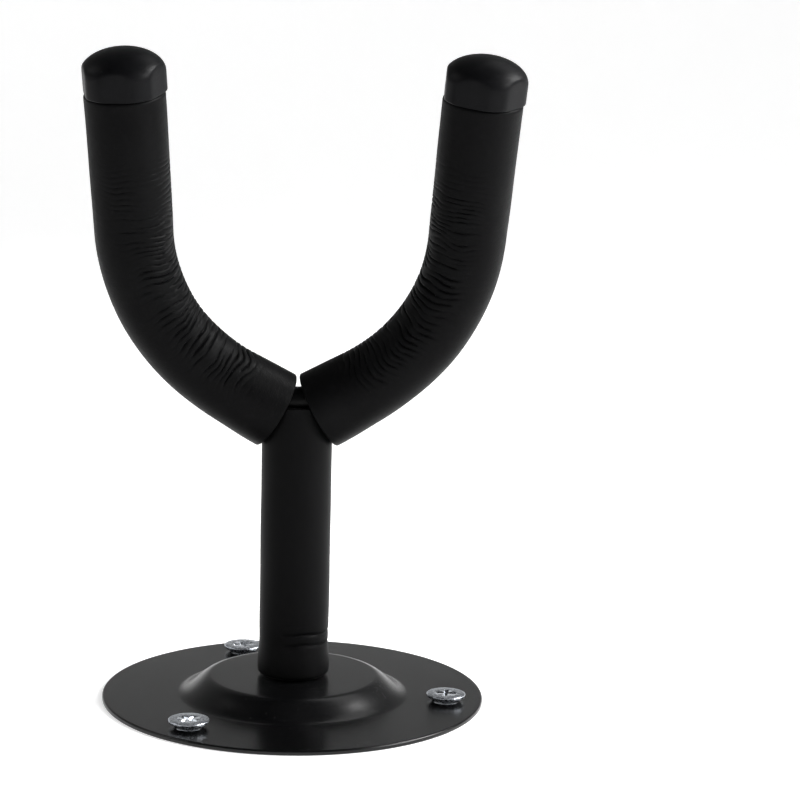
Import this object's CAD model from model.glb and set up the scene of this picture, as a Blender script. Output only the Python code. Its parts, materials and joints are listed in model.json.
"""Wall guitar hanger: fine shapes, materials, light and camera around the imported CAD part.

Metres. The wall plane is z = 0, +Z points out of the wall along the stem, +X runs across the yoke
from its left arm to its right, and -Y is the side towards which the yoke leans."""

import json
import math

import bmesh
import bpy
import numpy as np
from mathutils import Matrix, Vector, noise


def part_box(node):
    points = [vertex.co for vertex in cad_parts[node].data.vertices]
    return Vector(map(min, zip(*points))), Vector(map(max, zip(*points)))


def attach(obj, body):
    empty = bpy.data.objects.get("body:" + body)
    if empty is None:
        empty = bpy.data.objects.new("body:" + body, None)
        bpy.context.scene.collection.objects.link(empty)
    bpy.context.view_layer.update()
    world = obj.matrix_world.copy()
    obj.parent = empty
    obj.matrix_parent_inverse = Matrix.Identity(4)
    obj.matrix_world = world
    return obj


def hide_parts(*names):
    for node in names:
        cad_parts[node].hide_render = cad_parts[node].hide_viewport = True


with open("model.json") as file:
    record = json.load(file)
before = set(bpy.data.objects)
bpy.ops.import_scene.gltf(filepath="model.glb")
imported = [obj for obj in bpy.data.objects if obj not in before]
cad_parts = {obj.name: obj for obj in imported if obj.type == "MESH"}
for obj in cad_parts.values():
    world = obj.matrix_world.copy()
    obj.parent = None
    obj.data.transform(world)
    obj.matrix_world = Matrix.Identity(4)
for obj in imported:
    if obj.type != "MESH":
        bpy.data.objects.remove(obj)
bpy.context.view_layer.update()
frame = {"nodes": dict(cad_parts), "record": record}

MM = 0.001
FULL_TURN = 2 * math.pi
SHARP_ANGLE = math.radians(38)  # shading breaks at a steeper edge than this
GAP = 0.3 * MM  # between parts that fit into one another

# The sizes that follow are the ones that the CAD boxes don't give

# Flange
SHEET = 1.2 * MM  # thickness of the pressed steel
BOSS_TOP_R = 21.5 * MM
BOSS_FOOT_R = 30.5 * MM
BOSS_TOP_Z = 6 * MM
RIM_ROUND = 0.5 * MM
HOLE_R = 3.2 * MM
HOLE_LIP = 0.7 * MM

# Screws
HEAD_RIM = 0.8 * MM  # height of the head above its trumpet
HEAD_EDGE = 0.32 * MM  # rounding of the head's upper edge
TRUMPET_H = 4 * MM
TRUMPET_POWER = 2.2
NECK_R = 2.15 * MM
NECK_END_Z = -6 * MM
ROOT_R = 1.6 * MM
CREST_R = 2.5 * MM
THREAD_PITCH = 2.35 * MM
THREAD_ROWS = 260  # rings of points down the thread
POINT_H = 6.5 * MM
RECESS_SPAN = 5.4 * MM
RECESS_W = 1.1 * MM
RECESS_DEPTH = 2 * MM

# Plugs
PLUG_COLLAR = 0.35 * MM  # how far the collar at the mouth stands out
PLUG_WALL_R = 2.8 * MM
PLUG_NOSE = 5 * MM
PLUG_SLIT = 1 * MM
PLUG_SLIT_TOP = -10 * MM
PLUG_SLIT_END = -28 * MM
FIN = (5.6 * MM, 0.5 * MM, 0.45 * MM)  # length, width and height of the fin that stops the plug turning

# Bolt, stem and weld
BOLT_R = 2.5 * MM
BOLT_PITCH = 0.8 * MM
BOLT_THREAD = 0.45 * MM  # depth of the thread
BOLT_END_R = 1.7 * MM
BOLT_HEAD_H = 2.5 * MM
BOLT_DOME_H = 1.9 * MM
BOLT_SOCKET_R = 1.7 * MM
STEM_R = 5 * MM
STEM_EDGE = 0.4 * MM  # chamfers at the stem's foot
STEM_TOP_EDGE = 0.6 * MM
WELD_R = 6.4 * MM

# Yoke
YOKE_Z = 78.7 * MM  # centre of the yoke bar over the stem
YOKE_TILT = math.radians(15)
BAR_R = 4 * MM
CROTCH_RISE = math.radians(30.5)
CROTCH_BEND_R = 30 * MM
ARM_STRAIGHT = 18.3 * MM  # from the corner of the V to the start of the arm's bend
ARM_BEND_R = 52.5 * MM
ARM_LEAN = math.radians(3.5)
ARM_TOP = 35.7 * MM  # straight run from the bend to the end cap
SLEEVE_R = 10 * MM
SLEEVE_CUT = 6.1 * MM  # from the corner of the V to the cut end of the sleeve
BAR_ROOM = 14 * MM  # reach of the room cut for the bar, from its middle

# End caps
CAP_SIDES = 5
CAP_R = 10.5 * MM
CAP_FLAT_R = 9.7 * MM
CAP_SKIRT_H = 4.9 * MM
CAP_H = 10.8 * MM
CAP_SOCKET = 8 * MM
CAP_EDGE = 60  # the higher, the sharper the corners between the cap's sides
CAP_SEAM = 0.02 * MM  # between a sleeve and its cap
CAP_TURNS = {"left": math.radians(-26), "right": math.radians(-41)}

corner_drop = CROTCH_BEND_R * (1 / math.cos(CROTCH_RISE) - 1)
arm_turn = math.pi / 2 - ARM_LEAN - CROTCH_RISE


# Outlines: points (r, z) of a section, in order

def rounded(corners, steps=7):
    """The closed outline through corners (r, z, radius), with each corner rounded to its radius."""
    outline = []
    for i, (r, z, radius) in enumerate(corners):
        here = Vector((r, z))
        before = Vector(corners[i - 1][:2]) - here
        after = Vector(corners[(i + 1) % len(corners)][:2]) - here
        half = before.angle(after) / 2
        reach = radius / math.tan(half)
        middle = here + (before.normalized() + after.normalized()).normalized() * radius / math.sin(half)
        start = here + before.normalized() * reach - middle
        end = here + after.normalized() * reach - middle
        turn = start.angle_signed(end)
        for k in range(steps + 1):
            spoke = start.copy()
            spoke.rotate(Matrix.Rotation(-turn * k / steps, 2))
            outline.append(tuple(middle + spoke))
    return outline


def spaced(outline, step):
    """The same closed outline with no run between points longer than step."""
    dense = []
    for (r0, z0), (r1, z1) in zip(outline, outline[1:] + outline[:1]):
        count = max(1, math.ceil(math.hypot(r1 - r0, z1 - z0) / step))
        for k in range(count):
            dense.append((r0 + (r1 - r0) * k / count, z0 + (z1 - z0) * k / count))
    return dense


def angles(count):
    """Evenly spaced angles, once round."""
    return np.arange(count) * FULL_TURN / count


def smoothstep(low, high, x):
    t = np.clip((x - low) / (high - low), 0, 1)
    return t * t * (3 - 2 * t)


def swell(x, middle, width):
    """A smooth hump that is 1 at its middle."""
    return np.exp(-(((x - middle) / width) ** 2))


# Meshes

def rings_mesh(name, rings, closed):
    """A mesh of quads between rings of points, shape (rings, points, 3): a closed loop of rings,
    or an open row of them with a point at each end."""
    count, around = rings.shape[:2]
    vertices = rings.reshape(-1, 3)
    index = np.arange(count * around).reshape(count, around)
    low = index if closed else index[:-1]
    high = np.roll(index, -1, axis=0) if closed else index[1:]
    quads = np.stack([low, np.roll(low, -1, axis=1), np.roll(high, -1, axis=1), high], axis=-1)
    faces = quads.reshape(-1, 4).tolist()
    if not closed:
        vertices = np.vstack([vertices, rings[0].mean(0), rings[-1].mean(0)])
        first, last = len(vertices) - 2, len(vertices) - 1
        for a, b in zip(index[0], np.roll(index[0], -1)):
            faces.append([int(b), int(a), first])
        for a, b in zip(index[-1], np.roll(index[-1], -1)):
            faces.append([int(a), int(b), last])
    mesh = bpy.data.meshes.new(name)
    mesh.from_pydata(vertices.tolist(), [], faces)
    return make_piece(name, mesh)


def make_piece(name, mesh):
    piece = bpy.data.objects.new(name, mesh)
    bpy.context.scene.collection.objects.link(piece)
    face_outwards(mesh)
    mesh.shade_smooth()
    mesh.set_sharp_from_angle(angle=SHARP_ANGLE)
    return piece


def face_outwards(mesh):
    work = bmesh.new()
    work.from_mesh(mesh)
    bmesh.ops.recalc_face_normals(work, faces=work.faces)
    work.to_mesh(mesh)
    work.free()


def lathe(name, outline, around, closed=True, centre=(0, 0)):
    """outline turned about the z axis. An open one starts and ends on the axis."""
    points = np.array(outline)
    if not closed:
        points = points[1:-1]
    turn = angles(around)
    x = centre[0] + points[:, :1] * np.cos(turn)
    y = centre[1] + points[:, :1] * np.sin(turn)
    z = np.repeat(points[:, 1:], around, axis=1)
    piece = rings_mesh(name, np.stack([x, y, z], axis=-1), closed)
    if not closed:
        piece.data.vertices[-2].co.z = outline[0][1]
        piece.data.vertices[-1].co.z = outline[-1][1]
    return piece


def level_ring(radius, z, turn):
    """A level ring of points about the z axis. radius is one number, or one for each angle."""
    return np.stack([radius * np.cos(turn), radius * np.sin(turn), np.full(len(turn), z)], axis=-1)


def carve(piece, *tools):
    """Cuts the tools out of the piece and removes them."""
    for tool in tools:
        cut = piece.modifiers.new("cut", "BOOLEAN")
        cut.operation = "DIFFERENCE"
        cut.solver = "EXACT"
        cut.object = tool
    settle(piece)
    for tool in tools:
        bpy.data.objects.remove(tool)
    return piece


def settle(piece):
    """Applies the piece's modifiers."""
    evaluated = piece.evaluated_get(bpy.context.evaluated_depsgraph_get())
    mesh = bpy.data.meshes.new_from_object(evaluated)
    piece.modifiers.clear()
    piece.data = mesh
    mesh.name = piece.name


def even_shading(piece):
    """Keeps large flat faces flat beside small rounded ones."""
    weighted = piece.modifiers.new("weighted", "WEIGHTED_NORMAL")
    weighted.keep_sharp = True
    settle(piece)


def block(name, size, centre):
    """A box tool for cutting."""
    mesh = bpy.data.meshes.new(name)
    work = bmesh.new()
    bmesh.ops.create_cube(work, size=1)
    work.transform(Matrix.Translation(centre) @ Matrix.Diagonal((*size, 1)))
    work.to_mesh(mesh)
    work.free()
    return make_piece(name, mesh)


def placed(piece, matrix):
    piece.data.transform(matrix)
    piece.data.update()
    return piece


def join(piece, *others):
    """Adds the others' shapes to the piece's mesh."""
    work = bmesh.new()
    work.from_mesh(piece.data)
    for other in others:
        work.from_mesh(other.data)
        bpy.data.objects.remove(other)
    work.to_mesh(piece.data)
    work.free()
    return piece


# Paths in the yoke's plane: x across and u up the arms

class BentPath:
    """Straight runs and round bends, followed by distance from the start."""

    def __init__(self, start, heading, pieces):
        self.start, self.heading, self.pieces = start, heading, pieces
        self.total = sum(length for length, _ in pieces)

    def at(self, distance):
        (x, u), heading, left = self.start, self.heading, distance
        for length, turn in self.pieces:
            step = min(left, length)
            swing = turn * step / length
            chord = step if turn == 0 else 2 * length * math.sin(swing / 2) / turn
            x += chord * math.cos(heading + swing / 2)
            u += chord * math.sin(heading + swing / 2)
            heading += swing
            left -= step
            if left <= 0:
                break
        return x, u, heading


def bend(radius, turn):
    return radius * turn, turn


def sleeve_path():
    start = (SLEEVE_CUT * math.cos(CROTCH_RISE), SLEEVE_CUT * math.sin(CROTCH_RISE) - corner_drop)
    return BentPath(start, CROTCH_RISE, [
        (ARM_STRAIGHT - SLEEVE_CUT, 0),
        bend(ARM_BEND_R, arm_turn),
        (ARM_TOP, 0),
    ])


def bar_path():
    crotch_run = CROTCH_BEND_R * math.tan(CROTCH_RISE)
    return BentPath((0, 0), 0, [
        bend(CROTCH_BEND_R, CROTCH_RISE),
        (ARM_STRAIGHT - crotch_run, 0),
        bend(ARM_BEND_R, arm_turn),
        (ARM_TOP + CAP_SOCKET - GAP, 0),
    ])


yoke_up = Vector((0, -math.sin(YOKE_TILT), math.cos(YOKE_TILT)))
yoke_front = Vector((0, -math.cos(YOKE_TILT), -math.sin(YOKE_TILT)))
yoke_centre = Vector((0, 0, YOKE_Z))


def on_yoke(x, u):
    return yoke_centre + Vector((x, 0, 0)) + u * yoke_up


def ring_about(path, distance, radii, side):
    """A ring of points square to a path in the yoke's plane, the first of them on the inside of the
    bend. radii has one entry a point, and side is -1 for the left arm and 1 for the right."""
    x, u, heading = path.at(float(distance))
    turn = angles(len(radii))
    inward = Vector((-side * math.sin(heading), 0, 0)) + math.cos(heading) * yoke_up
    spokes = np.outer(np.cos(turn), inward) + np.outer(np.sin(turn), yoke_front)
    return np.array(on_yoke(side * x, u)) + spokes * radii[:, None]


def along(path, distances, radii, side):
    """Rings about a path, with one entry a ring in distances and one row a ring in radii."""
    return np.array([ring_about(path, *ring, side) for ring in zip(distances, radii)])


def keep_place(piece, places):
    """Stores where each point lies on the straight, unbent sleeve, for the foam's texture."""
    attribute = piece.data.attributes.new("unbent", "FLOAT_VECTOR", "POINT")
    attribute.data.foreach_set("vector", places.astype(np.float32).ravel())


# Foam

CREASE_SPACING = 1.8 * MM
CREASE_LENGTH = 6.5 * MM
CREASE_DEPTH = 0.55 * MM
CREASE_WAVER = 1.4  # how far a furrow strays, in spacings
SLEEVE_PINCH = 0.75 * MM  # how far the inside of the bend is pressed in
SLEEVE_FLARE = 1.1 * MM  # how far the cut end opens on the outside
FLARE_REACH = 12 * MM
SLEEVE_UNEVENNESS = 0.1 * MM
STEM_UNEVENNESS = 0.09 * MM
CRACK_SPACING = 2.9 * MM  # the two fine cracks near the stem's foot
CRACK_LENGTH = 8 * MM
CRACK_DEPTH = 0.35 * MM
CRACK_WAVER = 0.3
CRACK_BEARING = math.radians(-50)


def crease(x, y, z, spacing, length, seed, waver):
    """From 0 to 1: fine wavy furrows that run round a sleeve whose axis is z."""
    sway = noise.noise((x / length + seed, y / length, z / (1.6 * length)))
    lean = noise.noise((x / (2 * length), y / (2 * length) - seed, z / (3 * length)))
    across = 0.5 + 0.5 * math.cos(FULL_TURN * (z / spacing + waver * (0.8 * sway + 0.7 * lean)))
    broken = noise.noise((x / length, y / length + seed, z / (0.9 * spacing)))
    kept = min(max(0.75 + 1.7 * broken, 0.0), 1.0)
    return kept * across ** 5


def foam_outline(length, bore, radius, foot_round, top_round, step):
    corners = [
        (bore, 0, 0.3 * MM),
        (radius, 0, foot_round),
        (radius, length, top_round),
        (bore, length, 0.3 * MM),
    ]
    return np.array(spaced(rounded(corners), step))


def arm_sleeve(side_name):
    side = -1 if side_name == "left" else 1
    path = sleeve_path()
    length = path.total - CAP_SEAM
    bend_start = ARM_STRAIGHT - SLEEVE_CUT
    bend_end = bend_start + ARM_BEND_R * arm_turn
    outline = foam_outline(length, BAR_R + GAP, SLEEVE_R, 0.25 * MM, 0.9 * MM, 0.24 * MM)
    around = 168
    turn = angles(around)
    inside = np.cos(turn)
    radii = np.repeat(outline[:, :1], around, axis=1)
    distance = np.repeat(outline[:, 1:], around, axis=1)
    outer = smoothstep(0.8 * SLEEVE_R, 0.97 * SLEEVE_R, radii)

    pinch = swell(distance, (bend_start + bend_end) / 2, 0.3 * length)
    radii -= outer * pinch * SLEEVE_PINCH * (0.5 + 0.5 * inside)
    radii += outer * swell(distance, 0, FLARE_REACH) * SLEEVE_FLARE * (0.5 - 0.5 * inside)

    bent = smoothstep(bend_start - 4 * MM, bend_start + 7 * MM, distance)
    bent *= 1 - smoothstep(bend_end + 13 * MM, bend_end + 24 * MM, distance)
    upper = smoothstep(bend_end - 8 * MM, bend_end + 8 * MM, distance)
    edge = 0.05 - 0.5 * upper
    reach = smoothstep(edge - 0.4, edge + 0.35, inside[None, :]) * bent * outer * (1 - 0.45 * upper)
    for i, j in zip(*np.nonzero(reach > 0.02)):
        x, y = SLEEVE_R * inside[j], SLEEVE_R * math.sin(turn[j])
        patch = 0.7 + 0.7 * noise.noise((x / (9 * MM), y / (9 * MM) + side, distance[i, j] / (11 * MM)))
        packed = distance[i, j] + 0.35 * max(0.0, distance[i, j] - bend_end + 5 * MM)
        furrow = crease(x, y, packed, CREASE_SPACING, CREASE_LENGTH, 3.7 * side, CREASE_WAVER)
        radii[i, j] -= CREASE_DEPTH * reach[i, j] * patch * furrow
    for i, j in zip(*np.nonzero(outer > 0.5)):
        x, y = SLEEVE_R * inside[j], SLEEVE_R * math.sin(turn[j])
        dent = noise.noise((x / (8 * MM), y / (8 * MM) - side, distance[i, j] / (14 * MM)))
        radii[i, j] += SLEEVE_UNEVENNESS * dent

    rings = along(path, outline[:, 1], radii, side)
    piece = rings_mesh(f"arm_foam_{side_name}", rings, closed=True)
    unbent = np.stack([radii * inside, radii * np.sin(turn), distance + side * length], axis=-1)
    keep_place(piece, unbent.reshape(-1, 3))
    return piece


def stem_sleeve():
    low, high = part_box("stem_sleeve")
    radius, length = high.x, high.z - low.z
    outline = foam_outline(length, STEM_R + GAP, radius, 1.1 * MM, 0.3 * MM, 0.35 * MM)
    around = 160
    turn = angles(around)
    radii = np.repeat(outline[:, :1], around, axis=1)
    height = np.repeat(outline[:, 1:], around, axis=1)
    outer = smoothstep(0.8 * radius, 0.97 * radius, radii)
    foot_bulge = 0.3 * MM * swell(height, 3 * MM, 4.5 * MM)
    waist = -0.12 * MM * swell(height, 9 * MM, 3 * MM)
    radii += outer * (foot_bulge + waist)
    front_right = smoothstep(0.35, 0.95, np.cos(turn - CRACK_BEARING))
    near_foot = smoothstep(6 * MM, 9 * MM, height) * (1 - smoothstep(13 * MM, 16 * MM, height))
    reach = outer * near_foot * front_right[None, :]
    for i, j in zip(*np.nonzero(outer > 0.5)):
        x, y, z = radius * math.cos(turn[j]), radius * math.sin(turn[j]), height[i, j]
        radii[i, j] += STEM_UNEVENNESS * noise.noise((x / (8 * MM), y / (8 * MM), z / (16 * MM)))
        if reach[i, j] > 0.02:
            crack = crease(x, y, z, CRACK_SPACING, CRACK_LENGTH, 1.3, CRACK_WAVER)
            radii[i, j] -= CRACK_DEPTH * reach[i, j] * crack
    x, y = radii * np.cos(turn), radii * np.sin(turn)
    piece = rings_mesh("stem_foam", np.stack([x, y, height + low.z], axis=-1), closed=True)
    keep_place(piece, np.stack([x, y, height], axis=-1).reshape(-1, 3))
    carve(piece, weld_room(), bar_room("bar_room", GAP), arm_room(-1), arm_room(1))
    return piece


def weld_room():
    """The room that the weld takes at the top of the stem's sleeve, as a tool for cutting."""
    foot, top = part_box("weld_bead")[0].z - GAP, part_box("stem_sleeve")[1].z + MM
    section = [(0, foot), (WELD_R + GAP, foot), (WELD_R + GAP, top), (0, top)]
    return lathe("weld_room", section, 64, closed=False)


def arm_room(side):
    """The room that the arm's sleeve takes, as a tool for cutting."""
    distances = [0, GAP, GAP + 6 * MM, GAP + 12 * MM]
    path = sleeve_path()
    x, u = path.start
    path.start = (x - GAP * math.cos(CROTCH_RISE), u - GAP * math.sin(CROTCH_RISE))
    radii = np.full((len(distances), 96), SLEEVE_R + GAP)
    return rings_mesh("arm_room", along(path, distances, radii, side), closed=False)


def bar_room(name, clearance):
    """The yoke bar's middle with some clearance, as a tool for cutting."""
    return bar_mesh(name, BAR_R + clearance, BAR_ROOM, 48)


def bar_mesh(name, radius, to, around, end_round=0.0):
    """The yoke bar from one end to the other, to a distance from its middle along each arm."""
    path = bar_path()
    distances = np.arange(-to + end_round, to - end_round + 1e-9, 0.75 * MM)
    ends = [end_round * (1 - math.cos(math.radians(a))) for a in (0, 30, 60)]
    distances = np.concatenate([-to + np.array(ends), distances[1:-1], to - np.array(ends[::-1])])
    rings = []
    for distance in distances:
        edge = min(1.0, (to - abs(distance)) / end_round) if end_round else 1.0
        r = radius - end_round * (1 - math.sqrt(1 - (1 - edge) ** 2))
        rings.append(ring_about(path, abs(distance), np.full(around, r), math.copysign(1, distance)))
    return rings_mesh(name, np.array(rings), closed=False)


# The pieces on the wall

def boss_height(r):
    return SHEET + (BOSS_TOP_Z - SHEET) * float(smoothstep(0, BOSS_FOOT_R - BOSS_TOP_R, BOSS_FOOT_R - r))


def flange():
    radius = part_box("wall_flange")[1].x
    bore = BOLT_R + GAP
    slope = [(r, boss_height(r)) for r in np.linspace(BOSS_TOP_R, BOSS_FOOT_R, 26)]
    # The level stretches have rings near their ends, which keeps their shading flat
    top = [(r, BOSS_TOP_Z) for r in (bore, 8 * MM, 18 * MM)]
    flat = [(r, SHEET) for r in (31.5 * MM, 34 * MM, radius - 3.5 * MM, radius - 1.2 * MM)]
    over = [*top, *slope, *flat]
    under = [(r, z - SHEET) for r, z in reversed(over)]
    rim = []
    for angle in range(0, 91, 15):
        a = math.radians(angle)
        rim.append((radius - RIM_ROUND * (1 - math.sin(a)), SHEET - RIM_ROUND * (1 - math.cos(a))))
    foot = [(radius, RIM_ROUND * 0.4), (radius - RIM_ROUND * 0.4, 0)]
    piece = lathe("flange", over + rim + foot + under, 288)
    for node in screw_nodes():
        carve(piece, hole_tool(*middle(node)))
    even_shading(piece)
    return piece


def screw_nodes():
    return sorted(n for n in frame["nodes"] if n.startswith("mounting_screw"))


def middle(node):
    low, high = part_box(node)
    return (low.x + high.x) / 2, (low.y + high.y) / 2


def hole_tool(x, y):
    lip = []
    for angle in range(0, 91, 10):
        a = math.radians(angle)
        lip.append((HOLE_R + HOLE_LIP * (1 - math.cos(a)), SHEET - HOLE_LIP * (1 - math.sin(a))))
    section = [(0, -MM), (HOLE_R, -MM), *lip, (HOLE_R + HOLE_LIP, SHEET + MM), (0, SHEET + MM)]
    return lathe("hole_tool", section, 64, closed=False, centre=(x, y))


def thread_radius(z, turn, pitch, root, crest):
    """The radius of a thread's flank at height z and angle turn."""
    share = ((z / pitch + turn / FULL_TURN) % 1.0) * 2 - 1
    ridge = max(0.0, 1 - abs(share) * 1.9)
    return root + (crest - root) * ridge ** 0.9


def screw(node):
    """A countersunk screw with a trumpet head, a cross recess, a coarse thread and a sharp point."""
    low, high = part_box(node)
    x, y = middle(node)
    head_r = (high.x - low.x) / 2
    turn = angles(72)
    tip, top = low.z, high.z
    rings = []
    for row in range(1, THREAD_ROWS + 1):
        z = tip + (NECK_END_Z - tip) * row / THREAD_ROWS
        taper = min(1.0, (z - tip) / POINT_H)
        fade = min(1.0, (NECK_END_Z + 0.05 * MM - z) / THREAD_PITCH)
        root = ROOT_R + (NECK_R - ROOT_R) * max(0.0, 1 - fade * 1.5)
        crest = max(root, ROOT_R + (CREST_R - ROOT_R) * min(fade * 2, 1.0))
        flank = (THREAD_PITCH, root * taper ** 0.8, crest * taper ** 0.6)
        rings.append(level_ring([thread_radius(z, t, *flank) for t in turn], z, turn))
    rings.append(level_ring(NECK_R, NECK_END_Z + GAP, turn))
    neck_z = top - HEAD_RIM - TRUMPET_H
    for share in np.linspace(0, 1, 18):
        r = NECK_R + (head_r - 0.15 * MM - NECK_R) * share ** TRUMPET_POWER
        rings.append(level_ring(r, neck_z + TRUMPET_H * share, turn))
    for angle in range(0, 91, 15):
        a = math.radians(angle)
        r = head_r - HEAD_EDGE * (1 - math.cos(a))
        rings.append(level_ring(r, top - HEAD_EDGE * (1 - math.sin(a)), turn))
    rings.append(level_ring(head_r * 0.6, top, turn))
    piece = rings_mesh(node.replace("mounting_screw", "screw"), np.array(rings), closed=False)
    piece.data.vertices[-2].co.z = tip
    carve(piece, *cross_recess(top))
    return placed(piece, Matrix.Translation((x, y, 0)) @ Matrix.Rotation(math.atan2(y, x), 4, "Z"))


def cross_recess(top):
    """Two crossed wedges that narrow towards the recess's floor."""
    tools = []
    for turn in (0, math.pi / 2):
        mesh = bpy.data.meshes.new("recess")
        work = bmesh.new()
        bmesh.ops.create_cube(work, size=1)
        for v in work.verts:
            deep = v.co.z < 0
            v.co.x *= RECESS_SPAN * (0.55 if deep else 1.0)
            v.co.y *= RECESS_W * (0.7 if deep else 1.05)
            v.co.z = top - RECESS_DEPTH if deep else top + 0.1 * MM
        bmesh.ops.rotate(work, verts=work.verts, matrix=Matrix.Rotation(turn, 3, "Z"))
        work.to_mesh(mesh)
        work.free()
        tools.append(make_piece("recess", mesh))
    return tools


def plug(node):
    """A split nylon plug with a rounded nose, a bore for the screw and a slanted fin."""
    low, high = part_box(node)
    x, y = middle(node)
    radius = (high.x - low.x) / 2
    body_r = radius - PLUG_COLLAR
    mouth, end = high.z, low.z
    nose = []
    for angle in range(10, 91, 8):
        a = math.radians(angle)
        nose.append((body_r * math.sin(a) ** 0.8, end + PLUG_NOSE * (1 - math.cos(a))))
    bore = [(0.6 * MM, end + 0.5 * MM), (0.6 * MM, end + 3 * MM), (PLUG_WALL_R, end + 8 * MM)]
    bore += [(PLUG_WALL_R, mouth - 0.5 * MM), (PLUG_WALL_R + 0.4 * MM, mouth)]
    side = [(body_r, mouth - 6 * MM), (radius, mouth - 2.5 * MM), (radius, mouth - 0.4 * MM)]
    outline = spaced([*nose, *side, (radius - 0.3 * MM, mouth), *reversed(bore)], 0.8 * MM)
    piece = lathe(node.replace("wall_plug", "plug"), outline, 64)
    slit_size = (4 * radius, PLUG_SLIT, PLUG_SLIT_TOP - PLUG_SLIT_END)
    carve(piece, block("slit", slit_size, (0, 0, (PLUG_SLIT_TOP + PLUG_SLIT_END) / 2)))
    for turn in (math.pi / 2, -math.pi / 2):
        join(piece, fin(body_r, mouth - 8.5 * MM, turn))
    return placed(piece, Matrix.Translation((x, y, 0)) @ Matrix.Rotation(math.atan2(y, x), 4, "Z"))


def fin(radius, z, turn):
    """A slanted wedge that stands up towards the plug's mouth."""
    length, width, height = FIN
    mesh = bpy.data.meshes.new("fin")
    work = bmesh.new()
    bmesh.ops.create_cube(work, size=1)
    for v in work.verts:
        raised = v.co.x > 0 and v.co.z > 0
        v.co.x = radius + (height if raised else -0.15 * MM)
        v.co.y = v.co.y * width + v.co.z * 1.6 * MM
        v.co.z *= length
    bmesh.ops.bevel(work, geom=work.edges[:], offset=0.08 * MM, segments=2, affect="EDGES")
    work.transform(Matrix.Rotation(turn, 4, "Z") @ Matrix.Translation((0, 0, z)))
    work.to_mesh(mesh)
    work.free()
    return make_piece("fin", mesh)


# The pivot and the stem

def pivot_bolt():
    """A button-head bolt with a hexagon socket, its head below and its thread up in the stem."""
    low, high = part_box("pivot_bolt")
    head_r = high.x
    head_top = low.z + BOLT_HEAD_H
    turn = angles(60)
    rings = []
    for angle in range(20, 91, 7):
        a = math.radians(angle)
        rings.append(level_ring(head_r * math.sin(a), low.z + BOLT_DOME_H * (1 - math.cos(a)), turn))
    for r, z in ((head_r, head_top - 0.25 * MM), (head_r - 0.25 * MM, head_top), (BOLT_R, head_top)):
        rings.append(level_ring(r, z, turn))
    for z in np.arange(head_top + 1.5 * MM, high.z - 0.5 * MM, 0.1 * MM):
        radii = [thread_radius(z, t, BOLT_PITCH, BOLT_R - BOLT_THREAD, BOLT_R) for t in turn]
        rings.append(level_ring(radii, z, turn))
    rings.append(level_ring(BOLT_END_R, high.z, turn))
    piece = rings_mesh("bolt", np.array(rings), closed=False)
    section = [(0, low.z - MM), (BOLT_SOCKET_R, low.z - MM), (BOLT_SOCKET_R, low.z + 1.4 * MM)]
    section.append((0, low.z + 1.9 * MM))
    return carve(piece, lathe("socket", section, 6, closed=False))


def spring_washer():
    """One turn of square wire, split and slightly sprung."""
    low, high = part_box("spring_washer")
    inner, outer = BOLT_R + GAP, max(high.x, high.y)
    thick = high.z - low.z
    wire, edge = 0.85 * thick, 0.15 * MM
    corners = [(inner, 0, edge), (outer, 0, edge), (outer, wire, edge), (inner, wire, edge)]
    section = np.array(rounded(corners, 4))
    gap_angle = 0.17
    rings = []
    for t in np.linspace(gap_angle / 2, FULL_TURN - gap_angle / 2, 90):
        rise = low.z + 0.15 * thick * t / FULL_TURN
        rings.append([(r * math.cos(t), r * math.sin(t), z + rise) for r, z in section])
    return rings_mesh("lock_washer", np.array(rings), closed=False)


def thrust_washer():
    low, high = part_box("thrust_washer")
    inner, r, edge = BOLT_R + GAP, high.x, 0.15 * MM
    corners = [(inner, low.z, edge), (r, low.z, edge), (r, high.z, edge), (inner, high.z, edge)]
    return lathe("nylon_washer", rounded(corners, 4), 72)


def stem_bar():
    low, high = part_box("stem_bar")
    bore_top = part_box("pivot_bolt")[1].z + MM
    bore = BOLT_R + GAP
    inside = [(0, bore_top + 0.8 * MM), (bore, bore_top), (bore, low.z + STEM_EDGE)]
    foot = [(bore + STEM_EDGE, low.z), (STEM_R - STEM_EDGE, low.z), (STEM_R, low.z + STEM_EDGE)]
    top = [(STEM_R, high.z - STEM_TOP_EDGE), (STEM_R - STEM_TOP_EDGE, high.z), (0, high.z)]
    return lathe("stem_rod", inside + foot + top, 72, closed=False)


def weld_bead():
    """A rippled bead round the top of the stem, cut to the stem and the yoke bar."""
    low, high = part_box("weld_bead")
    ripples = 26
    turn = angles(144)
    height = high.z - low.z
    rings = []
    for share in np.linspace(0.02, 0.98, 24):
        bulge = math.sin(math.pi * share) ** 0.6
        ripple = 0.14 * MM * np.cos(turn * ripples + 5 * share)
        r = STEM_R - 0.2 * MM + (WELD_R - STEM_R + 0.1 * MM) * bulge + ripple * bulge
        rings.append(level_ring(r, low.z + height * share, turn))
    piece = rings_mesh("weld", np.array(rings), closed=False)
    clear = 0.05 * MM
    core_r, core_top = STEM_R + clear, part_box("stem_bar")[1].z + clear
    section = [(0, low.z - MM), (core_r, low.z - MM), (core_r, core_top), (0, core_top)]
    return carve(piece, lathe("core", section, 72, closed=False), bar_room("bar_core", clear))


def yoke_bar():
    return bar_mesh("yoke_rod", BAR_R, bar_path().total, 40, end_round=0.6 * MM)


# End caps

def cap_radius(turn, dome):
    """The smaller of the dome's radius and the distance to the nearest flat side, softly joined."""
    pitch = FULL_TURN / CAP_SIDES
    off = (turn + pitch / 2) % pitch - pitch / 2
    flat = CAP_FLAT_R / np.cos(off)
    return (dome ** -CAP_EDGE + flat ** -CAP_EDGE) ** (-1 / CAP_EDGE)


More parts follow.
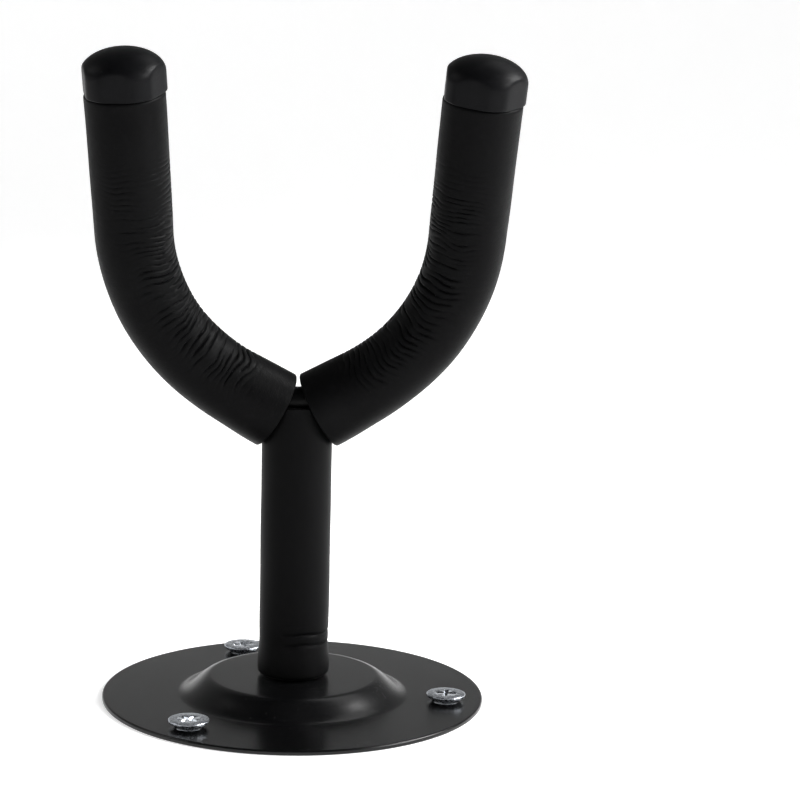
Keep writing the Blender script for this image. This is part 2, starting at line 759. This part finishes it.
def end_cap(side_name):
    side = -1 if side_name == "left" else 1
    turn = angles(240)
    foot = 0.35 * MM
    levels = []
    for a in np.radians(range(0, 91, 18)):
        levels.append((CAP_R - foot * (1 - math.sin(a)), foot * (1 - math.cos(a))))
    levels += [(CAP_R, z) for z in np.linspace(foot, CAP_SKIRT_H, 12)[1:]]
    for a in np.radians(np.linspace(0, 88, 46))[1:]:
        levels.append((CAP_R * math.cos(a), CAP_SKIRT_H + (CAP_H - CAP_SKIRT_H) * math.sin(a)))
    rings = [level_ring(cap_radius(turn, dome), z, turn) for dome, z in levels]
    piece = rings_mesh(f"cap_{side_name}", np.array(rings), closed=False)
    piece.data.vertices[-1].co.z = CAP_H
    socket_r = BAR_R + 0.1 * MM
    section = [(0, -MM), (socket_r, -MM), (socket_r, CAP_SOCKET), (0, CAP_SOCKET)]
    socket = lathe("socket", section, 48, closed=False)
    inner, outer, deep = 6.1 * MM, 8.2 * MM, 3.2 * MM
    recess = lathe("recess", [(inner, -MM), (outer, -MM), (outer, deep), (inner, deep)], 64)
    carve(piece, socket, recess)
    x, u, _ = sleeve_path().at(math.inf)
    stand = Matrix((
        (math.cos(ARM_LEAN), 0, side * math.sin(ARM_LEAN)),
        (0, 1, 0),
        (-side * math.sin(ARM_LEAN), 0, math.cos(ARM_LEAN)),
    )).to_4x4()
    tilt = Matrix.Rotation(YOKE_TILT, 4, "X")
    place = Matrix.Translation(on_yoke(side * x, u)) @ tilt @ stand
    return placed(piece, place @ Matrix.Rotation(CAP_TURNS[side_name], 4, "Z"))


# Materials

GLOW_TOP = 0.21  # height up to which the floor sheet glows in full
PALE_TOP = 0.22  # height up to which it keeps its full paleness


class Nodes:
    """A material's node tree, with its shader at hand."""

    def __init__(self, name, color, roughness, **sockets):
        self.material = bpy.data.materials.new(name)
        self.material.use_nodes = True
        self.tree = self.material.node_tree
        self.shader = self.tree.nodes["Principled BSDF"]
        self.shader.inputs["Base Color"].default_value = (*color, 1)
        self.shader.inputs["Roughness"].default_value = roughness
        for socket, value in sockets.items():
            self.shader.inputs[socket.replace("_", " ")].default_value = value

    def add(self, kind, inputs=None, **settings):
        node = self.tree.nodes.new(kind)
        for key, value in settings.items():
            setattr(node, key, value)
        for socket, value in (inputs or {}).items():
            if isinstance(value, bpy.types.NodeSocket):
                self.tree.links.new(value, node.inputs[socket])
            else:
                node.inputs[socket].default_value = value
        return node

    def place(self, attribute=None):
        if attribute:
            return self.add("ShaderNodeAttribute", attribute_name=attribute).outputs["Vector"]
        return self.add("ShaderNodeTexCoord").outputs["Object"]

    def stretched(self, place, scale):
        return self.add("ShaderNodeMapping", {"Vector": place, "Scale": scale}).outputs["Vector"]

    def noise(self, place, scale, detail, roughness=0.5, distortion=0.0):
        values = {"Vector": place, "Scale": scale, "Detail": detail, "Roughness": roughness,
                  "Distortion": distortion}
        return self.add("ShaderNodeTexNoise", values).outputs["Fac"]

    def spots(self, place, scale):
        return self.add("ShaderNodeTexVoronoi", {"Vector": place, "Scale": scale}).outputs["Distance"]

    def range(self, value, low, high, to_low, to_high):
        values = {"Value": value, "From Min": low, "From Max": high, "To Min": to_low, "To Max": to_high}
        return self.add("ShaderNodeMapRange", values).outputs["Result"]

    def total(self, a, b):
        return self.add("ShaderNodeMath", {0: a, 1: b}, operation="ADD").outputs[0]

    def tint(self, value, low, high, dark, light):
        """A colour between dark and light as value goes from low to high."""
        share = self.range(value, low, high, 0.0, 1.0)
        mix = self.add("ShaderNodeMix", {"Factor": share}, data_type="RGBA")
        mix.inputs["A"].default_value = (*dark, 1)
        mix.inputs["B"].default_value = (*light, 1)
        return mix.outputs["Result"]

    def bump(self, height, depth, strength, under=None):
        values = {"Height": height, "Distance": depth, "Strength": strength}
        if under is not None:
            values["Normal"] = under
        return self.add("ShaderNodeBump", values).outputs["Normal"]

    def feed(self, **sockets):
        for socket, value in sockets.items():
            self.tree.links.new(value, self.shader.inputs[socket.replace("_", " ")])
        return self.material


def foam_material():
    """Closed-cell foam: a dark satin skin with fine pores, faint scuffs and small puckers."""
    nodes = Nodes("foam_skin", (0.004, 0.004, 0.0043), 0.46, Specular_IOR_Level=0.05)
    place = nodes.place("unbent")
    patches = nodes.noise(place, 90, 4)
    color = nodes.tint(patches, 0.3, 0.72, (0.002, 0.002, 0.0022), (0.0036, 0.0037, 0.0039))
    scuff = nodes.noise(place, 420, 5, 0.6)
    roughness = nodes.range(nodes.total(scuff, patches), 0.7, 1.3, 0.4, 0.52)
    puckers = nodes.noise(nodes.stretched(place, (1, 1, 3.6)), 330, 3, 0.55, 0.6)
    pores = nodes.spots(place, 3600)
    fine = nodes.noise(place, 2400, 2)
    normal = nodes.bump(puckers, 0.12 * MM, 0.5)
    normal = nodes.bump(pores, 0.03 * MM, 0.5, normal)
    normal = nodes.bump(fine, 0.04 * MM, 0.45, normal)
    return nodes.feed(Base_Color=color, Roughness=roughness, Normal=normal)


def powder_coat_material():
    """Satin black powder coat over pressed steel, with a fine orange peel and a little dust."""
    nodes = Nodes("powder_coat", (0.0055, 0.0055, 0.006), 0.22, Specular_IOR_Level=0.3)
    place = nodes.place()
    broad = nodes.noise(place, 60, 3)
    dust = nodes.spots(place, 420)
    color = nodes.tint(broad, 0.3, 0.7, (0.002, 0.0021, 0.0023), (0.0034, 0.0035, 0.0038))
    flecks = nodes.tint(dust, 0.035, 0.06, (0.05, 0.05, 0.05), (0, 0, 0))
    mixed = nodes.add("ShaderNodeMix", {"Factor": 1.0}, data_type="RGBA", blend_type="ADD")
    nodes.tree.links.new(color, mixed.inputs["A"])
    nodes.tree.links.new(flecks, mixed.inputs["B"])
    grain = nodes.noise(place, 1500, 3)
    roughness = nodes.range(nodes.total(grain, broad), 0.6, 1.4, 0.2, 0.28)
    peel = nodes.noise(place, 900, 2, 0.4)
    normal = nodes.bump(peel, 0.03 * MM, 0.3)
    normal = nodes.bump(grain, 0.02 * MM, 0.25, normal)
    return nodes.feed(Base_Color=mixed.outputs["Result"], Roughness=roughness, Normal=normal)


def cap_material():
    """Black moulded plastic with a fine spark grain and faint handling marks."""
    nodes = Nodes("cap_moulding", (0.005, 0.005, 0.0058), 0.34, Specular_IOR_Level=0.07)
    place = nodes.place()
    mottling = nodes.noise(place, 240, 4, 0.6)
    color = nodes.tint(mottling, 0.3, 0.7, (0.003, 0.0031, 0.0036), (0.0048, 0.0049, 0.0056))
    marks = nodes.noise(nodes.stretched(place, (1, 1, 2.5)), 700, 4, 0.6)
    roughness = nodes.range(nodes.total(marks, mottling), 0.7, 1.3, 0.32, 0.44)
    grain = nodes.spots(place, 2600)
    normal = nodes.bump(mottling, 0.1 * MM, 0.3)
    normal = nodes.bump(grain, 0.03 * MM, 0.4, normal)
    return nodes.feed(Base_Color=color, Roughness=roughness, Normal=normal)


def zinc_material():
    """Bright zinc plate: bluish, with cold-heading marks and a slight cloudiness."""
    nodes = Nodes("zinc_plate", (0.6, 0.64, 0.69), 0.24, Metallic=1.0)
    place = nodes.place()
    cloud = nodes.noise(place, 700, 4, 0.6)
    color = nodes.tint(cloud, 0.3, 0.7, (0.5, 0.54, 0.6), (0.68, 0.71, 0.75))
    marks = nodes.noise(nodes.stretched(place, (1, 1, 5)), 1600, 3, 0.6)
    roughness = nodes.range(nodes.total(cloud, marks), 0.7, 1.3, 0.16, 0.34)
    normal = nodes.bump(marks, 0.03 * MM, 0.35)
    return nodes.feed(Base_Color=color, Roughness=roughness, Normal=normal)


def plug_material():
    """Milky nylon that lets light through, with faint flow marks."""
    nodes = Nodes("milky_nylon", (0.82, 0.83, 0.81), 0.35, Transmission_Weight=0.35, IOR=1.5,
                  Subsurface_Weight=0.35, Subsurface_Scale=0.004)
    place = nodes.place()
    flow = nodes.noise(nodes.stretched(place, (1, 1, 0.25)), 500, 3, 0.5, 0.8)
    color = nodes.tint(flow, 0.3, 0.7, (0.76, 0.77, 0.75), (0.87, 0.88, 0.87))
    roughness = nodes.range(flow, 0.3, 0.7, 0.28, 0.42)
    normal = nodes.bump(flow, 0.05 * MM, 0.3)
    return nodes.feed(Base_Color=color, Roughness=roughness, Normal=normal)


def black_steel_material():
    """Black-coated steel bar with faint lines from drawing."""
    nodes = Nodes("black_steel", (0.004, 0.004, 0.0044), 0.4, Specular_IOR_Level=0.25)
    place = nodes.place()
    mottling = nodes.noise(place, 300, 4)
    color = nodes.tint(mottling, 0.3, 0.7, (0.003, 0.003, 0.0032), (0.0055, 0.0055, 0.006))
    lines = nodes.noise(nodes.stretched(place, (6, 6, 0.6)), 420, 3, 0.6)
    roughness = nodes.range(nodes.total(lines, mottling), 0.7, 1.3, 0.32, 0.48)
    normal = nodes.bump(lines, 0.03 * MM, 0.35)
    return nodes.feed(Base_Color=color, Roughness=roughness, Normal=normal)


def washer_material():
    """Black nylon with a fine moulded grain."""
    nodes = Nodes("black_nylon", (0.016, 0.016, 0.017), 0.45, Specular_IOR_Level=0.4)
    place = nodes.place()
    grain = nodes.noise(place, 1800, 3)
    color = nodes.tint(grain, 0.3, 0.7, (0.012, 0.012, 0.013), (0.02, 0.02, 0.021))
    roughness = nodes.range(grain, 0.3, 0.7, 0.38, 0.52)
    normal = nodes.bump(grain, 0.02 * MM, 0.4)
    return nodes.feed(Base_Color=color, Roughness=roughness, Normal=normal)


def paper_material():
    """The pale floor, lit from within like a light table. Its glow fades and its colour greys with
    height, from GLOW_TOP and PALE_TOP up."""
    nodes = Nodes("pale_floor", (0.86, 0.86, 0.86), 0.9, Specular_IOR_Level=0.1,
                  Emission_Color=(1, 1, 1, 1))
    height = nodes.add("ShaderNodeSeparateXYZ", {"Vector": nodes.place()}).outputs["Z"]
    glow = nodes.range(height, GLOW_TOP, 0.5, 0.6, 0.02)
    nodes.tree.links.new(glow, nodes.shader.inputs["Emission Strength"])
    color = nodes.tint(height, PALE_TOP, 0.7, (0.86, 0.86, 0.86), (0.4, 0.4, 0.4))
    return nodes.feed(Base_Color=color)


# Assembly

materials = {
    "powder_coat": powder_coat_material(),
    "black_steel": black_steel_material(),
    "foam": foam_material(),
    "cap_moulding": cap_material(),
    "zinc": zinc_material(),
    "plug_nylon": plug_material(),
    "washer_nylon": washer_material(),
}
slot_of = {row["node"]: row["material_slot"] for row in frame["record"]["subparts"]}
body_of = {n: body for body, nodes in frame["record"]["behaviour"]["bodies"].items() for n in nodes}


def fit(piece, node):
    """The piece stands for the node: it rides on the node's body and takes its material."""
    piece.data.materials.clear()
    piece.data.materials.append(materials[slot_of[node]])
    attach(piece, body_of[node])
    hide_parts(node)
    return piece


def build_hanger():
    fit(flange(), "wall_flange")
    for node in screw_nodes():
        fit(screw(node), node)
        plug_node = node.replace("mounting_screw", "wall_plug")
        fit(plug(plug_node), plug_node)
    fit(pivot_bolt(), "pivot_bolt")
    fit(spring_washer(), "spring_washer")
    fit(thrust_washer(), "thrust_washer")
    fit(stem_bar(), "stem_bar")
    fit(weld_bead(), "weld_bead")
    fit(yoke_bar(), "yoke_bar")
    fit(stem_sleeve(), "stem_sleeve")
    for side_name in ("left", "right"):
        fit(arm_sleeve(side_name), f"arm_sleeve_{side_name}")
        fit(end_cap(side_name), f"end_cap_{side_name}")


# The studio

CAMERA_PLACE = (-14.2 * MM, -584.7 * MM, 178.6 * MM)
CAMERA_AIM = (26.5 * MM, 0, 79.5 * MM)
CAMERA_ROLL = math.radians(1.38)
CAMERA_LENS = 103.2  # on a 36 mm sensor

FLOOR_FLAT_R = 1.2
FLOOR_SWEEP_R = 1.0  # radius of the curve up from the flat
FLOOR_TOP = 2.6
FLOOR_DROP = 0.05 * MM  # keeps the sheet clear of the flange's back
HANGER_MIDDLE = (0, 0, 0.08)


def add_camera():
    data = bpy.data.cameras.new("camera")
    data.lens = CAMERA_LENS
    data.sensor_width = 36
    data.clip_start = 0.01
    camera = bpy.data.objects.new("camera", data)
    bpy.context.scene.collection.objects.link(camera)
    look = Vector(CAMERA_AIM) - Vector(CAMERA_PLACE)
    level = look.to_track_quat("-Z", "Y").to_matrix().to_4x4()
    camera.matrix_world = Matrix.Translation(CAMERA_PLACE) @ level @ Matrix.Rotation(CAMERA_ROLL, 4, "Z")
    bpy.context.scene.camera = camera


def add_light(name, place, size, watts):
    data = bpy.data.lights.new(name, "AREA")
    data.shape = "RECTANGLE"
    data.size, data.size_y = size
    data.energy = watts
    light = bpy.data.objects.new(name, data)
    bpy.context.scene.collection.objects.link(light)
    look = Vector(HANGER_MIDDLE) - Vector(place)
    light.matrix_world = Matrix.Translation(place) @ look.to_track_quat("-Z", "Y").to_matrix().to_4x4()


def add_floor():
    """A pale sheet that lies flat under the hanger and sweeps up far off, all round it."""
    around = 96
    profile = [(0.3, 0), (FLOOR_FLAT_R, 0)]
    for angle in range(5, 91, 5):
        a = math.radians(angle)
        profile.append((FLOOR_FLAT_R + FLOOR_SWEEP_R * math.sin(a), FLOOR_SWEEP_R * (1 - math.cos(a))))
    profile.append((FLOOR_FLAT_R + FLOOR_SWEEP_R, FLOOR_TOP))
    rings = [level_ring(r, z - FLOOR_DROP, angles(around)) for r, z in profile]
    vertices = np.concatenate(rings).tolist()
    faces = [tuple(range(around))]
    for ring in range(len(profile) - 1):
        for i in range(around):
            near, far = ring * around, (ring + 1) * around
            faces.append((near + i, far + i, far + (i + 1) % around, near + (i + 1) % around))
    mesh = bpy.data.meshes.new("floor")
    mesh.from_pydata(vertices, [], faces)
    mesh.shade_smooth()
    floor = bpy.data.objects.new("floor", mesh)
    bpy.context.scene.collection.objects.link(floor)
    mesh.materials.append(paper_material())


def add_world(brightness):
    world = bpy.data.worlds.new("studio")
    world.use_nodes = True
    background = world.node_tree.nodes["Background"]
    background.inputs["Color"].default_value = (1, 1, 1, 1)
    background.inputs["Strength"].default_value = brightness
    bpy.context.scene.world = world


def build_studio():
    add_camera()
    add_floor()
    add_world(0.05)
    add_light("key", (0.85, -0.4, 0.5), (0.35, 0.45), 7)
    add_light("side", (0.85, 0.1, 0.75), (0.35, 0.45), 13)
    add_light("top", (0.65, 0.7, 1.4), (0.8, 0.6), 2)
    add_light("fill", (-0.8, 0.1, 0.7), (0.4, 0.4), 0.8)
    bpy.context.scene.view_settings.view_transform = "Standard"


build_studio()
build_hanger()
